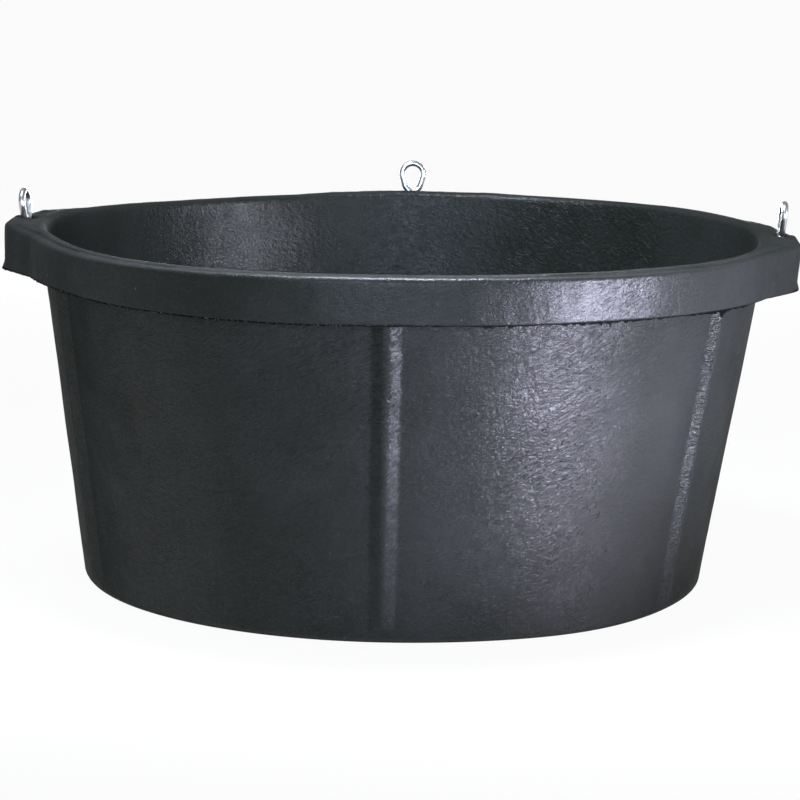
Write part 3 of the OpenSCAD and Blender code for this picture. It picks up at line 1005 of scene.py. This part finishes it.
def buildWasher(ear):
    w = washerShape
    low, high, e = w["low"], w["high"], w["round"]
    outer = [(w["outR"] - w["burr"], low), (w["outR"], low + w["burr"])]
    for a in np.radians(w["roundRows"]):
        outer.append((w["outR"] - e + e * math.sin(a), high - e + e * math.cos(a)))
    inner = [(w["bore"] + w["boreRound"], high), (w["bore"], high - w["boreRound"]),
             (w["bore"], low + w["boreBurr"]), (w["bore"] + w["boreBurr"], low)]
    return turnedPiece("flat_washer_" + ear, ear, outer + inner)


hardware = (
    ("eye_bolt", buildBolt, "zinc", zincMaterial("wire")),
    ("nut", buildNut, "nut_zinc", zincMaterial("nut")),
    ("washer", buildWasher, "washer_zinc", zincMaterial("washer")),
)
hardwareSharp = 28  # degrees
for ear in earAngles:
    for kind, build, slot, finish in hardware:
        piece = build(ear)
        smoothShade(piece, hardwareSharp)
        piece.data.materials.append(finish)
        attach(piece, "eye_" + ear)
        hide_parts(kind + "_" + ear)
print("bolts, washers and nuts on")


# floor and light, in metres

stageSet = {
    "floor": 0.6, "lift": 0.95,  # the floor's own grey, and the share of plain white that is seen over it
    "floorSize": 30.0, "floorDown": 0.0004,  # just under the base, so that the two don't share a plane
    "world": 0.34, "worldTint": (0.92, 1.0, 0.89),
    "lamps": [
        {"name": "lowKey", "place": (0.545, -0.56, 0.06), "aim": (0.125, -0.247, 0.135),
         "size": (0.20, 0.10), "beam": 36, "power": 0.80, "tint": (0.79, 0.75, 1.0)},
        {"name": "rimKey", "place": (0.75, -0.575, 0.23), "aim": (0.175, -0.252, 0.285),
         "size": (0.38, 0.14), "beam": 32, "power": 1.1, "tint": (0.77, 0.77, 1.0)},
        {"name": "rib", "place": (0.62, -0.42, 0.04), "aim": (0.245, -0.115, 0.12),
         "size": (0.10, 0.10), "beam": 30, "power": 0.14, "tint": (0.80, 0.82, 1.0)},
        {"name": "side", "place": (1.50, -0.74, 0.60), "aim": (-0.145, 0.245, 0.27),
         "size": (0.22, 0.22), "beam": 24, "power": 0.8, "tint": (0.82, 0.85, 1.0)},
        {"name": "top", "place": (-0.45, -0.2, 1.6), "aim": (0.08, 0.12, 0.22),
         "size": (0.5, 0.4), "beam": 46, "power": 3.6, "tint": (0.78, 0.86, 1.0)},
        {"name": "lip", "place": (0.03, -0.13, 1.55), "aim": (0.02, -0.30, 0.285),
         "size": (0.75, 0.2), "beam": 24, "power": 2.7, "tint": (0.82, 0.83, 1.0)},
        {"name": "front", "place": (-0.2, -3.6, 1.0), "aim": (0, 0.2, 0.25),
         "size": (1.9, 0.7), "beam": 120, "power": 40, "tint": (0.62, 0.80, 1.0)},
        {"name": "back", "place": (-0.1, 2.3, 0.20), "aim": (0, 0.2, 0.13),
         "size": (1.2, 0.32), "beam": 100, "power": 20, "tint": (0.92, 0.94, 1.0)},
    ],
}


def makeFloor():
    size, low = stageSet["floorSize"], -stageSet["floorDown"]
    corners = [(-size, -size, low), (size, -size, low), (size, size, low), (-size, size, low)]
    floor = makeMesh("floor", corners, [(0, 1, 2, 3)])
    made, tree = newMaterial("pale_floor")
    level = stageSet["floor"]
    lit = node(tree, "ShaderNodeBsdfDiffuse", {"Color": (level, level, level, 1)})
    white = node(tree, "ShaderNodeEmission", {"Color": (1, 1, 1, 1), "Strength": 1.0})
    path = node(tree, "ShaderNodeLightPath").outputs
    mirrored = maths(tree, "MAXIMUM", path["Is Glossy Ray"], path["Is Transmission Ray"])
    seen = maths(tree, "MAXIMUM", path["Is Camera Ray"], mirrored)
    share = maths(tree, "MULTIPLY", seen, stageSet["lift"])
    mix = node(tree, "ShaderNodeMixShader", {0: share, 1: lit.outputs[0], 2: white.outputs[0]})
    node(tree, "ShaderNodeOutputMaterial", {0: mix.outputs[0]})
    floor.data.materials.append(made)


def makeWorld():
    world = bpy.data.worlds.new("studio")
    bpy.context.scene.world = world
    world.use_nodes = True
    tree = world.node_tree
    tree.nodes.clear()
    tint = (*stageSet["worldTint"], 1)
    sky = node(tree, "ShaderNodeBackground", {"Color": tint, "Strength": stageSet["world"]})
    node(tree, "ShaderNodeOutputWorld", {0: sky.outputs[0]})


def makeLamps():
    for lamp in stageSet["lamps"]:
        data = bpy.data.lights.new(lamp["name"], "AREA")
        data.shape = "RECTANGLE"
        data.size, data.size_y = lamp["size"]
        data.spread = math.radians(lamp["beam"])
        data.energy = lamp["power"]
        data.color = lamp["tint"]
        made = bpy.data.objects.new(lamp["name"], data)
        bpy.context.scene.collection.objects.link(made)
        made.location = Vector(lamp["place"])
        made.rotation_mode = "QUATERNION"
        made.rotation_quaternion = (Vector(lamp["aim"]) - made.location).to_track_quat("-Z", "Y")


makeFloor()
makeWorld()
makeLamps()
bpy.context.scene.view_settings.view_transform = "Standard"
print("stage and light set")
